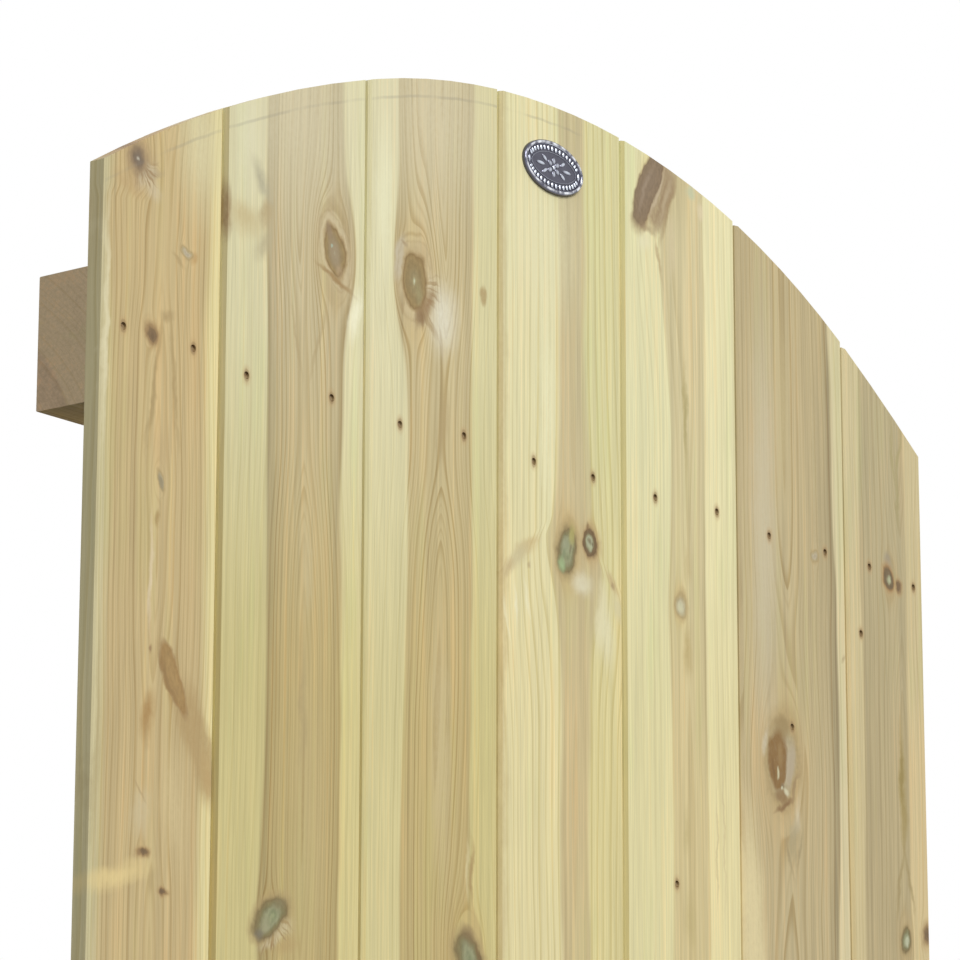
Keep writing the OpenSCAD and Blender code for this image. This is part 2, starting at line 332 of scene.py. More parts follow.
def timber(
    name,
    seed,
    pith,
    heart_x,
    heart_r,
    ring_w,
    sap,
    heart,
    features=(),
    sweeps=(),
    bulges=(),
    nails=(),
    rim=(0.05, 0.05),
    heart_blur=1.6,
    rings=(1.0, 1.0),
    tints=None,
    slopes=None,
    turn=0.0,
    sawn=0.0,
    pencil=None,
    ends=(0.68, 0.61, 0.62),
):
    """The finish of one piece of softwood. Lengths are in mm, in the piece's own across, deep and along.

    pith is where the stem's middle runs, across and deep. Heartwood lies within heart_r of heart_x, with
    an edge as soft as heart_blur, and rim darkens its left and right edges. ring_w is a year's growth.
    sap and heart are colours, and rings is how strongly the rings show in each. features are its knots
    and marks, and nails the places of its nails. A sweep bends the grain sideways below a slanting line:
    its place, slope, half width, reach and shift. A bulge pushes the pith back: its place, reach and rise.
    tints multiply the wood low down and at the top, and ends its sawn ends. slopes multiplies
    the sloping sides of its joints darker: painted shade in the grooves, with the treatment that pools there.
    turn is the angle that brings the piece's length upright. sawn is the depth of the saw's marks, 0 if
    planed.
    pencil is the arch's line: its centre across and up, its radius and where it stops.
    """
    material = bpy.data.materials.new(name)
    material.use_nodes = True
    tree = material.node_tree
    shader = tree.nodes["Principled BSDF"]
    place = Wire(tree, None).node("ShaderNodeTexCoord", {}, {}, "Object")
    spot = place.node(
        "ShaderNodeMapping",
        {"vector_type": "POINT"},
        {"Vector": place, "Rotation": (0.0, turn, 0.0), "Scale": (1000.0, 1000.0, 1000.0)},
    )
    across = spot.node("ShaderNodeSeparateXYZ", {}, {0: spot})
    deep = across.other(1)
    along = across.other(2)
    grain = spot.node("ShaderNodeVectorMath", {"operation": "ADD"}, {0: spot, 1: (0.0, 0.0, seed * 1900.0)})
    normal = place.other("Normal")
    facing = normal.node(
        "ShaderNodeMapping",
        {"vector_type": "VECTOR"},
        {"Vector": normal, "Rotation": (0.0, turn, 0.0)},
    )
    sideways = facing.node("ShaderNodeSeparateXYZ", {}, {0: facing})
    end_on = fade(sideways.other(2).maths("ABSOLUTE"), 0.4, 0.8)
    knots = [feature for feature in features if isinstance(feature, Knot)]

    # The grain wanders a little up the board and runs round each knot, where it is a little darker.
    wander = ripple(grain, 150, 90, 260, 0.0)
    waver = ripple(grain, 16, 30, 80)
    line_x = across + wander * GRAIN_DRIFT + waver * GRAIN_TREMBLE
    flowed = line_x
    heap = 0.0
    stressed = 0.0
    for branch in knots:
        radius = (branch.wide + branch.tall) / 4 * branch.pull
        from_x = line_x - branch.across
        from_z = along.maths("MULTIPLY_ADD", 1 / BEND_LENGTH, -branch.along / BEND_LENGTH)
        apart = from_x.maths("MULTIPLY_ADD", from_x, from_z * from_z)
        share = (radius * radius / apart).maths("MINIMUM", 1.0)
        flowed = flowed - from_x * share
        if branch.swell:
            hump = 1 / (apart * (1 / (radius * radius * HEAP_REACH)) + 1)
            heap = heap + hump * hump * branch.swell
        if branch.wide > DARKENING_KNOT:
            stressed = share.maths("MAXIMUM", stressed)
    for x, z, slope, half_w, reach, shift in sweeps:
        below = (across - x) * slope + (z - along)
        near = 1 - fade((across - x).maths("ABSOLUTE"), half_w * 0.6, half_w * 1.3)
        bend = fade(below, -8, 3) * (1 - fade(below, 0, reach)) * near
        flowed = flowed + bend * shift

    # Growth rings lie round the pith, which nears and leaves the face and so draws flames on it.
    depth = pith[1] - deep + ripple(grain, 220, 200, 230, 0.0) * PITH_DRIFT
    for z, reach, rise in bulges:
        step = (along - z) * (1 / reach)
        bell = 1 / ((step * step) ** 2 + 1)
        depth = depth + bell * rise
    beside = (flowed - pith[0]).maths("ABSOLUTE") ** FLAME_TIP
    ring_r = (beside + depth.maths("ABSOLUTE") ** FLAME_TIP) ** (1 / FLAME_TIP) + heap
    years = ring_r * (1 / ring_w)
    drift = years.node("ShaderNodeCombineXYZ", {}, {0: years * 0.27, 1: seed * 3.1, 2: along * 0.0006})
    drift = drift.node("ShaderNodeTexNoise", {}, {"Vector": drift, "Scale": 1.0, "Detail": 1.0})
    years = years + drift * RING_DRIFT
    year = years.maths("FLOOR")
    season = years - year
    bold = year.node("ShaderNodeTexWhiteNoise", {"noise_dimensions": "1D"}, {"W": year + seed * 17.0})
    late = fade(season, LATE_START, LATE_FULL) * (1 - fade(season, LATE_END, 1.0)) * (bold * 0.7 + 0.3)
    false_ring = fade(season, FALSE_START, FALSE_FULL) * (1 - fade(season, FALSE_FULL, FALSE_END))
    faint = false_ring * (1 - bold) * 0.4
    late = (late + faint) * (stressed * 0.35 + 1) * (1 - end_on * 0.6)

    # Heartwood ends at its own radius, and its two edges are darker than its middle.
    out_x = flowed - heart_x
    heart_at = distance(out_x, pith[1] - deep) + waver * 0.8 + ripple(grain, 60, 60, 120) * 0.8
    in_heart = 1 - fade(heart_at, heart_r - heart_blur, heart_r + heart_blur)
    side = fade(out_x, -20, 20)
    near_edge = fade(heart_at, heart_r - RIM_START, heart_r - RIM_FULL)
    rim_shade = in_heart * near_edge * (side * (rim[1] - rim[0]) + rim[0])
    early_wood = paint(in_heart, paint(side, sap[0], sap[1]), heart)
    late_wood = tinted(early_wood, paint(in_heart, LATE_SAP, LATE_HEART))
    wood = paint(late * (in_heart * (rings[1] - rings[0]) + rings[0]), early_wood, late_wood)
    thread = ripple(grain, 0.8, 0.8, 40, 1.0)
    fibre = ripple(grain, 1.9, 2.5, 170, 2.0)
    stripe = ripple(grain, 6, 9, 300, 1.5)
    cloud = ripple(grain, 34, 60, 130, 2.0)
    stripes = stripe * (in_heart * HEART_STRIPE_SHADE + STRIPE_SHADE)
    streaks = thread * THREAD_SHADE + fibre * FIBRE_SHADE + stripes + cloud * CLOUD_SHADE
    wood = shade(wood, streaks - rim_shade + 1.0)
    wood = paint(fade(fibre + stripe + cloud, 0.2, 1.7) * 0.6, wood, WARM_STREAK, "MULTIPLY")
    wood = paint(fade(stripe - cloud, 0.1, 1.5) * 0.55, wood, GREEN_STREAK, "MULTIPLY")
    wood = paint(fade(stressed, 0.2, 1.0) * 0.5, wood, PRESSED_GRAIN, "MULTIPLY")
    if tints is not None:
        wood = tinted(wood, paint(fade(along, BLEACH_START, BLEACH_FULL), *tints))

    # Stains and knots lie over the plain wood, each in its turn.
    rough_x = across + ripple(grain, 4.5, 5, 7, 2.0) * 1.0 + ripple(grain, 17, 18, 24, 0.0) * 1.8
    rough_z = along + ripple(grain, 5.5, 5, 6, 2.0) * 1.2 + ripple(grain, 19, 18, 22, 0.0) * 2.0
    blotch = ripple(grain, 2.6, 2.6, 4.2, 2.5)
    for feature in features:
        edge = oval(rough_x, rough_z, feature)
        if isinstance(feature, Mark):
            inside = 1 - fade(edge, 1 - feature.soft, 1 + feature.soft * 0.3)
            wood = paint(inside * (blotch * 0.12 + feature.cover), wood, feature.colour)
            continue
        if feature.rays is not None:
            angle = (rough_z - feature.along).maths("ARCTAN2", rough_x - feature.across)
            toward = fade((angle - math.radians(feature.rays)).maths("COSINE"), 0.35, 0.85)
            fan = angle.node("ShaderNodeCombineXYZ", {}, {0: angle * 8.0, 1: edge * 0.5, 2: seed * 5.0})
            splits = fade(ripple(fan, 1, 1, 1), -0.4, 0.7)
            reach = fade(edge, 0.7, 1.0) * (1 - fade(edge - splits * 0.4, 1.1, 1.9))
            wood = paint(toward * (1 - splits) * reach * 0.6, wood, SPLIT_EDGE)
            wood = paint(toward * splits * reach * 0.8, wood, SPLIT_DARK)
        ramp = edge.node("ShaderNodeValToRGB", {"stops": KNOT_KINDS[feature.kind]}, {0: edge * 0.5})
        mottle = blotch * 0.13 + (edge * 17.0).maths("SINE") * 0.035 + 1.0
        wood = paint(ramp.other(1), wood, shade(ramp, mottle))

    # A nail bruises the wood round its hole, and its rust stains it.
    for x, z in nails:
        from_x = across - x
        from_z = along - z
        apart = distance(from_x, from_z, 0.45) + blotch * 0.35
        wood = paint((1 - fade(apart, *BRUISE_REACH)) * 0.35, wood, BRUISE)
        wood = paint((1 - fade(apart, *RUST_REACH)) * 0.6, wood, RUST)

    if pencil is not None:
        centre_x, centre_z, radius, end_x = pencil
        off = (distance(across - centre_x, along - centre_z) - radius + waver * 0.5).maths("ABSOLUTE")
        drawn = (1 - fade(off, 0.3, 1.5)) * fade(ripple(grain, 22, 40, 40, 2.0), -1.2, 0.9)
        drawn = drawn * (1 - fade(across, end_x - 20, end_x)) * fade(along, centre_z, centre_z + 200)
        wood = paint(drawn * (1 - fade(deep, front_y, front_y + 0.4)) * 0.3, wood, PENCIL)

    # The sloping sides of the joints are multiplied darker: painted shade in the grooves, with the treatment
    # that pools there.
    if slopes is not None:
        aside = sideways.maths("ABSOLUTE")
        wood = paint(fade(aside, 0.4, 0.6) * (1 - fade(aside, 0.8, 0.9)), wood, slopes, "MULTIPLY")

    # Sawn ends drink more of the treatment and are darker.
    wood = paint(end_on * 0.8, wood, ends, "MULTIPLY")

    relief = (late * LATE_RELIEF + fibre * FIBRE_RELIEF + thread * THREAD_RELIEF) * (1 - end_on)
    if sawn:
        teeth = ripple(grain, 90, 90, 1.6, 1.0) * (1 - end_on)
        relief = relief + teeth * sawn
        wood = shade(wood, teeth * 0.05 + 1.0)

    bump = relief.node("ShaderNodeBump", {}, {"Height": relief, "Distance": 0.001, "Strength": 1.0})
    tree.links.new(wood.socket, shader.inputs["Base Color"])
    roughness = end_on * 0.3 + fibre * 0.03 - late * 0.08 + ROUGHNESS
    tree.links.new(roughness.socket, shader.inputs["Roughness"])
    tree.links.new(bump.socket, shader.inputs["Normal"])
    shader.inputs["Specular IOR Level"].default_value = SAWN_SHEEN if sawn else PLANED_SHEEN
    return material


def finish_node(node, material):
    """Gives a piece of the frame its finish."""
    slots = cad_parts[node].data.materials
    slots.clear()
    slots.append(material)


# How far apart in mm two corners of one nail can be, seen from the front.
NAIL_REACH = 8


def nail_places(node):
    """Where each nail of a group stands, across and up the leaf in mm."""
    groups = []
    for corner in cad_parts[node].data.vertices:
        x = corner.co.x * 1000
        z = corner.co.z * 1000
        for group in groups:
            if math.hypot(x - group[0][0], z - group[0][1]) < NAIL_REACH:
                group.append((x, z))
                break
        else:
            groups.append([(x, z)])
    places = []
    for group in groups:
        xs = [x for x, z in group]
        zs = [z for x, z in group]
        places.append(((min(xs) + max(xs)) / 2, (min(zs) + max(zs)) / 2))
    return places


NAIL_NODES = [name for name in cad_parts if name.endswith("_nails")]
all_nails = [place for node in NAIL_NODES for place in nail_places(node)]


# Rings of branches below what is drawn: the highest one, their spacing, the lowest, and their knots.
WHORL_TOP = (960, 1080)
WHORL_GAP = (240, 360)
WHORL_LOWEST = 60
WHORL_SPREAD = 18
EDGE_MARGIN = 18
KNOT_WIDTHS = [8, 12, 18, 24]
KNOT_MIX = ["brown", "dark", "green", "pale", "brown"]


def whorls(seed, left, right):
    """Knots for the lower part of a board, in rings of branches some 300 mm apart, as on a pine."""
    chance = random.Random(seed)
    found = []
    along = chance.uniform(*WHORL_TOP)
    while along > WHORL_LOWEST:
        for branch in range(chance.choice([1, 1, 2])):
            across = chance.uniform(left + EDGE_MARGIN, right - EDGE_MARGIN)
            wide = chance.choice(KNOT_WIDTHS)
            kind = chance.choice(KNOT_MIX)
            tall = wide * chance.uniform(1.1, 1.6)
            lean = chance.uniform(-25, 25)
            height = along + chance.uniform(-WHORL_SPREAD, WHORL_SPREAD)
            found.append(knot(across, height, wide, tall, lean, kind, pull=1.0, swell=3.0))
        along -= chance.uniform(*WHORL_GAP)
    return found


def board_finish(node, seed, heart_edges, pith_behind, flame_x=None, features=(), **facts):
    """A board's finish, with its heartwood between two edges on the front face."""
    low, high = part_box(node)
    left = low.x * 1000
    right = high.x * 1000
    half = (heart_edges[1] - heart_edges[0]) / 2
    heart_x = (heart_edges[0] + heart_edges[1]) / 2
    material = timber(
        node + "_pine",
        seed,
        pith=(heart_x if flame_x is None else flame_x, front_y + pith_behind),
        heart_x=heart_x,
        heart_r=math.hypot(half, pith_behind),
        features=[*features, *whorls(seed, left, right)],
        nails=[(x, z) for x, z in all_nails if left < x < right],
        **facts,
    )
    finish_node(node, material)


# The pencilled line runs 12 mm inside the arch: centre across and up, radius, and where it stops.
PENCILLED_SHOULDER = (135.1, 723.1, 1084.0, 30.0)
PENCILLED_CROWN = (11.0, 1116.0, 672.0, 30.0)

board_finish(
    "board_1",
    seed=1,
    heart_edges=(-440, -357),
    pith_behind=15,
    flame_x=-397,
    ring_w=3.9,
    sap=((0.60, 0.535, 0.31), (0.76, 0.67, 0.35)),
    heart=(0.582, 0.455, 0.234),
    heart_blur=6.0,
    rings=(0.8, 1.05),
    pencil=PENCILLED_SHOULDER,
    sweeps=[(-430, 1632, 0.15, 20, 80, 4)],
    bulges=[(1625, 70, 7), (1440, 60, -3), (1290, 60, 5)],
    features=[
        mark(-366, 1682, 46, 110, 0, (0.71, 0.65, 0.39), 0.75, 0.9),
        mark(-394, 1606, 24, 76, -4, (0.575, 0.455, 0.235), 0.6, 0.9),
        mark(-394, 1567, 15, 8, 0, (0.40, 0.29, 0.135), 0.7, 0.9),
        mark(-403.5, 1520, 5, 100, 8, (0.39, 0.285, 0.13), 0.7, 0.9),
        mark(-384.5, 1523, 5, 90, -6, (0.39, 0.285, 0.13), 0.7, 0.9),
        mark(-446, 1550, 5.5, 170, 0, (0.76, 0.70, 0.46), 0.7, 0.9),
        mark(-446, 1290, 5.5, 180, 0, (0.45, 0.37, 0.19), 0.5, 0.9),
        mark(-394, 1485, 20, 36, 0, (0.50, 0.37, 0.185), 0.5, 0.95),
        mark(-408, 1642, 13, 24, -40, (0.66, 0.58, 0.42), 0.4, 0.9),
        mark(-428, 1640, 34, 14, 10, (0.50, 0.35, 0.17), 0.55, 0.9),
        mark(-410, 1652, 22, 7, -20, (0.40, 0.31, 0.19), 0.6, 0.9),
        knot(-421, 1657, 17, 20, 0, "smoky", 0.8, 2, -45),
        mark(-371, 1606, 10, 8, -60, (0.50, 0.32, 0.13), 0.7, 0.8),
        mark(-384, 1602, 4, 16, -60, (0.44, 0.32, 0.15), 0.7, 0.8),
        knot(-377, 1608, 6, 9, -65, "pale", 0.9, 1),
        knot(-407, 1553, 9.5, 13, -10, "pin", 0.8, 2),
        knot(-395, 1466, 7, 12, -10, "pale", 1.1, 2),
        mark(-395.5, 1465, 7, 12, -10, (0.30, 0.25, 0.145), 0.85, 0.7),
        mark(-397, 1442, 5, 14, 0, (0.38, 0.26, 0.10), 0.8, 0.8),
        mark(-402, 1408, 5, 84, 0, (0.74, 0.62, 0.42), 0.6, 0.8),
        mark(-401, 1364.5, 4, 5, 0, (0.30, 0.19, 0.095), 0.8, 0.8),
        mark(-359, 1315, 27, 82, -28, (0.44, 0.31, 0.14), 0.8, 0.5, True),
        mark(-350, 1296, 14, 34, -20, (0.50, 0.35, 0.155), 0.7, 0.8),
        mark(-378, 1275, 26, 84, -8, (0.68, 0.555, 0.30), 0.55, 0.95),
        knot(-380.5, 1349, 13.5, 48, -29, "spike", 0.3, 0),
        mark(-386, 1350, 4, 40, -28, (0.26, 0.165, 0.07), 0.5, 0.8),
        mark(-402, 1325, 12, 36, 12, (0.40, 0.25, 0.095), 0.95, 0.95),
        mark(-407, 1268, 18, 34, 20, (0.60, 0.52, 0.33), 0.5, 0.9),
        mark(-407, 1280, 2.5, 18, -40, (0.42, 0.30, 0.15), 0.6, 0.8),
        mark(-428, 1229, 15, 74, 72, (0.78, 0.62, 0.29), 0.75, 0.9),
        knot(-404, 1246, 9, 5, -25, "pin", 0.9, 0),
        mark(-397, 1232, 7, 22, 0, (0.44, 0.33, 0.16), 0.5, 0.8),
        knot(-386, 1226, 6, 5, 0, "pin", 0.5, 0),
    ],
)
board_finish(
    "board_2",
    seed=2,
    heart_edges=(-299, -228.5),
    pith_behind=15,
    ring_w=4.5,
    sap=((0.625, 0.56, 0.298), (0.68, 0.61, 0.33)),
    heart=(0.532, 0.436, 0.226),
    rings=(0.5, 1.3),
    rim=(0.17, 0.07),
    tints=((0.99, 0.965, 0.85), (1.10, 1.15, 1.34)),
    slopes=(0.62, 0.57, 0.46),
    pencil=PENCILLED_SHOULDER,
    bulges=[(1550, 80, 8), (1330, 120, -3)],
    features=[
        mark(-275, 1730, 150, 170, 0, (0.70, 0.64, 0.445), 0.5, 0.95),
        mark(-321, 1696, 30, 100, 0, (0.76, 0.73, 0.51), 0.5, 0.95),
        mark(-256, 1285, 40, 220, 0, (0.56, 0.45, 0.225), 0.45, 0.95),
        mark(-274, 1580, 4.5, 54, -14, (0.43, 0.33, 0.17), 0.6, 0.95),
        mark(-253, 1582, 4.5, 60, 18, (0.43, 0.33, 0.17), 0.6, 0.95),
        mark(-324, 1644, 38, 24, 14, (0.57, 0.47, 0.25), 0.8, 0.9),
        mark(-308, 1671, 14, 32, -31, (0.44, 0.405, 0.275), 0.8, 0.9),
        mark(-305, 1652, 14, 24, 25, (0.47, 0.37, 0.20), 0.8, 0.7),
        mark(-306, 1633, 13, 28, 22, (0.47, 0.41, 0.25), 0.75, 0.9),
        mark(-341, 1646, 11, 42, 0, (0.33, 0.225, 0.11), 0.85, 0.8),
        mark(-238, 1645, 28, 48, -22, (0.64, 0.54, 0.35), 0.6, 0.7),
        knot(-237, 1644, 20, 35, -20, "brown", 1.2, 6),
        mark(-237, 1644, 14, 28, -20, (0.35, 0.275, 0.175), 0.75, 0.6),
        mark(-240, 1649, 3, 3, 0, (0.42, 0.52, 0.40), 0.8, 0.8),
        mark(-243, 1657, 8, 10, -20, (0.31, 0.23, 0.15), 0.6, 0.8),
        mark(-232, 1632, 9, 10, 0, (0.48, 0.35, 0.21), 0.6, 0.9),
        mark(-237, 1626, 5, 44, -68, (0.34, 0.22, 0.09), 0.85, 0.7),
        mark(-217, 1606, 14, 40, 8, (0.93, 0.90, 0.66), 0.75, 0.9),
        mark(-263, 1352, 10, 100, 0, (0.41, 0.32, 0.16), 0.6, 0.9),
        mark(-262, 1442, 16, 80, 0, (0.60, 0.51, 0.29), 0.5, 0.9),
        mark(-276, 1206, 24, 12, -30, (0.46, 0.33, 0.145), 0.6, 0.9),
        knot(-291, 1221, 19, 33, 56, "green", 0.5, 0, -60),
        mark(-296, 1217, 10, 14, 50, (0.38, 0.35, 0.21), 0.6, 0.8),
        mark(-301, 1212, 8, 8, 0, (0.20, 0.18, 0.13), 0.7, 0.8),
        mark(-284, 1229, 16, 8, -20, (0.25, 0.21, 0.11), 0.6, 0.8),
    ],
)
board_finish(
    "board_3",
    seed=3,
    heart_edges=(-163.5, -98),
    pith_behind=15,
    flame_x=-131,
    ring_w=4.5,
    sap=((0.68, 0.615, 0.345), (0.645, 0.575, 0.29)),
    heart=(0.564, 0.458, 0.232),
    rings=(0.5, 1.3),
    rim=(0.05, 0.07),
    tints=((0.99, 0.975, 0.89), (1.09, 1.13, 1.27)),
    slopes=(0.92, 0.92, 0.88),
    pencil=PENCILLED_CROWN,
    sweeps=[(-172, 1800, 0.0, 24, 190, 10)],
    bulges=[(1562, 70, 9), (1410, 90, -3)],
    features=[
        mark(-135, 1765, 150, 170, 0, (0.70, 0.64, 0.45), 0.5, 0.95),
        mark(-188, 1690, 20, 130, 0, (0.84, 0.82, 0.56), 0.6, 0.95),
        mark(-128, 1624, 34, 56, 12, (0.80, 0.77, 0.62), 0.7, 0.95),
        mark(-129, 1606, 3, 34, -16, (0.50, 0.41, 0.26), 0.5, 0.8),
        mark(-137, 1616, 3, 30, -28, (0.52, 0.43, 0.28), 0.5, 0.8),
        mark(-173, 1655, 12, 34, 22, (0.56, 0.51, 0.39), 0.75, 0.6),
        mark(-166, 1664, 10, 4, 20, (0.32, 0.22, 0.12), 0.7, 0.8),
        knot(-157, 1643, 27, 36, 14, "brown", 1.1, 7, -35),
        mark(-152, 1636, 9, 20, 10, (0.37, 0.33, 0.17), 0.5, 0.8),
        mark(-145, 1630, 13, 34, 44, (0.29, 0.175, 0.075), 0.8, 0.9),
        mark(-152, 1621, 14, 18, 25, (0.25, 0.155, 0.07), 0.8, 0.8),
        mark(-143, 1620, 6, 26, -34, (0.36, 0.25, 0.12), 0.65, 0.9),
        mark(-85, 1650, 9, 16, 0, (0.44, 0.325, 0.15), 0.85, 0.5),
        mark(-127, 1556, 12, 60, 4, (0.45, 0.34, 0.17), 0.6, 0.9),
        mark(-128, 1350, 24, 200, -2, (0.60, 0.50, 0.275), 0.6, 0.8),
        mark(-100, 1272, 4, 44, -3, (0.66, 0.57, 0.31), 0.7, 0.8),
        mark(-95, 1270, 5, 52, -3, (0.41, 0.285, 0.12), 0.85, 0.8),
        knot(-97, 1214, 25, 38, -36, "green", 1.0, 5, -60),
        mark(-100, 1230, 16, 14, 20, (0.24, 0.17, 0.08), 0.8, 0.8),
        mark(-86, 1216, 5, 30, -30, (0.20, 0.13, 0.055), 0.8, 0.7),
    ],
)
board_finish(
    "board_4",
    seed=4,
    heart_edges=(-0.5, 28),
    pith_behind=18,
    ring_w=6.0,
    sap=((0.768, 0.697, 0.394), (0.715, 0.645, 0.33)),
    heart=(0.618, 0.515, 0.282),
    rings=(0.8, 0.35),
    tints=((1.02, 1.0, 0.98), (1.0, 1.03, 1.09)),
    slopes=(0.84, 0.80, 0.73),
    pencil=PENCILLED_CROWN,
    sweeps=[(-42, 1486, 0.8, 30, 130, 10), (60, 1480, -0.8, 24, 110, -9)],
    features=[
        mark(-22, 1706, 100, 130, 0, (0.79, 0.76, 0.50), 0.4, 0.9),
        mark(-15, 1590, 18, 190, 0, (0.85, 0.82, 0.53), 0.6, 0.95),
        mark(-63.5, 1430, 11, 1300, 0, (0.55, 0.44, 0.22), 0.5, 1.0),
        mark(-36, 1494, 11, 34, 62, (0.60, 0.46, 0.22), 0.75, 0.9),
        mark(-46, 1485, 12, 28, 40, (0.60, 0.52, 0.30), 0.8, 0.8),
        mark(-57, 1474, 9, 22, 45, (0.55, 0.43, 0.23), 0.75, 0.8),
        mark(-37, 1482, 4, 6, 0, (0.42, 0.31, 0.17), 0.6, 0.9),
        mark(58, 1484, 9, 22, -40, (0.56, 0.43, 0.22), 0.8, 0.8),
        mark(59, 1482, 4, 6, 0, (0.36, 0.25, 0.13), 0.7, 0.8),
        mark(64, 1468, 12, 26, -20, (0.66, 0.60, 0.36), 0.7, 0.8),
        mark(50, 1450, 22, 60, -8, (0.80, 0.76, 0.52), 0.6, 0.9),
        mark(43, 1458, 13, 64, 8, (0.76, 0.70, 0.44), 0.75, 0.8),
        mark(23, 1478, 26, 20, 20, (0.74, 0.69, 0.49), 0.75, 0.8),
        mark(-48, 1452, 4, 34, -12, (0.88, 0.84, 0.60), 0.6, 0.9),
        mark(-37, 1458, 3.5, 30, -10, (0.86, 0.82, 0.58), 0.5, 0.9),
        mark(-59, 1440, 4, 36, -12, (0.86, 0.82, 0.58), 0.5, 0.9),
        mark(10, 1514, 22, 20, 0, (0.52, 0.36, 0.15), 0.5, 0.9),
        knot(7, 1498, 20, 34, 13, "green", 0.9, 3),
        mark(12, 1509, 9, 22, 14, (0.46, 0.41, 0.145), 0.75, 0.8),
        mark(5, 1500, 10, 13, 0, (0.36, 0.37, 0.235), 0.65, 0.8),
        mark(3, 1494, 4, 10, 30, (0.22, 0.26, 0.14), 0.6, 0.8),
        mark(10, 1499, 3, 6, 10, (0.22, 0.18, 0.11), 0.7, 0.8),
        mark(2, 1487, 9, 13, -10, (0.37, 0.49, 0.25), 0.8, 0.8),
        knot(33, 1506, 16, 20, -10, "dark", 0.75, 3),
        mark(34, 1502, 5, 6, 0, (0.44, 0.46, 0.28), 0.8, 0.8),
        mark(31, 1517, 4, 8, 0, (0.24, 0.15, 0.07), 0.8, 0.8),
        mark(36, 1505, 2.5, 4, 0, (0.15, 0.11, 0.06), 0.8, 0.8),
    ],
)
board_finish(
    "board_5",
    seed=5,
    heart_edges=(126, 167),
    pith_behind=18,
    ring_w=6.8,
    sap=((0.758, 0.713, 0.41), (0.80, 0.737, 0.422)),
    heart=(0.685, 0.592, 0.328),
    rings=(0.45, 0.6),
    tints=((1.01, 0.98, 0.94), (1.02, 1.03, 1.07)),
    slopes=(0.75, 0.70, 0.54),
    sweeps=[(112, 1800, 0.0, 30, 210, 19)],
    features=[
        mark(114, 1722, 5, 42, -14, (0.48, 0.36, 0.19), 0.75, 0.9),
        mark(97, 1731, 18, 18, 20, (0.80, 0.75, 0.50), 0.6, 0.9),
        mark(129, 1736, 14, 54, 0, (0.68, 0.58, 0.36), 0.65, 0.9),
        mark(117, 1768, 24, 62, 26, (0.37, 0.27, 0.155), 0.9, 0.35, True),
        knot(102, 1771, 21, 66, 26, "bark", 0.5, 0, None, True),
        mark(98, 1768, 5, 44, 26, (0.37, 0.285, 0.20), 0.55, 0.9),
        mark(106, 1776, 4, 46, 26, (0.24, 0.175, 0.11), 0.6, 0.9),
        mark(113, 1768, 4, 52, 25, (0.56, 0.46, 0.31), 0.7, 0.9),
        mark(118, 1766, 3, 48, 24, (0.31, 0.215, 0.115), 0.6, 0.9),
        mark(122, 1766, 4, 46, 23, (0.52, 0.42, 0.265), 0.55, 0.9),
        mark(126, 1762, 6, 64, 21, (0.34, 0.235, 0.12), 0.8, 0.9),
        mark(98, 1741, 30, 7, 6, (0.34, 0.24, 0.135), 0.6, 0.9),
        mark(153, 1780, 14, 12, 0, (0.55, 0.58, 0.38), 0.8, 0.8),
        mark(165, 1770, 10, 16, 0, (0.78, 0.66, 0.44), 0.6, 0.8),
        knot(138, 1483, 15, 19, 0, "pale", 0.7, 1),
        mark(138, 1482, 12, 15, 0, (0.64, 0.62, 0.395), 0.8, 0.8),
        mark(144.5, 1616, 6, 84, -1, (0.42, 0.35, 0.15), 0.85, 0.9),
        mark(145, 1511, 12, 34, 0, (0.53, 0.42, 0.20), 0.5, 0.9),
        mark(146, 1453, 13, 44, 0, (0.50, 0.385, 0.165), 0.75, 0.9),
        mark(144, 1328, 12, 38, 0, (0.53, 0.43, 0.20), 0.55, 0.9),
        mark(146, 1268, 16, 44, 0, (0.52, 0.42, 0.19), 0.55, 0.9),
        mark(177, 1320, 3, 110, 0, (0.56, 0.45, 0.235), 0.5, 0.9),
        mark(187, 1330, 3, 130, 0, (0.60, 0.48, 0.25), 0.5, 0.9),
    ],
)
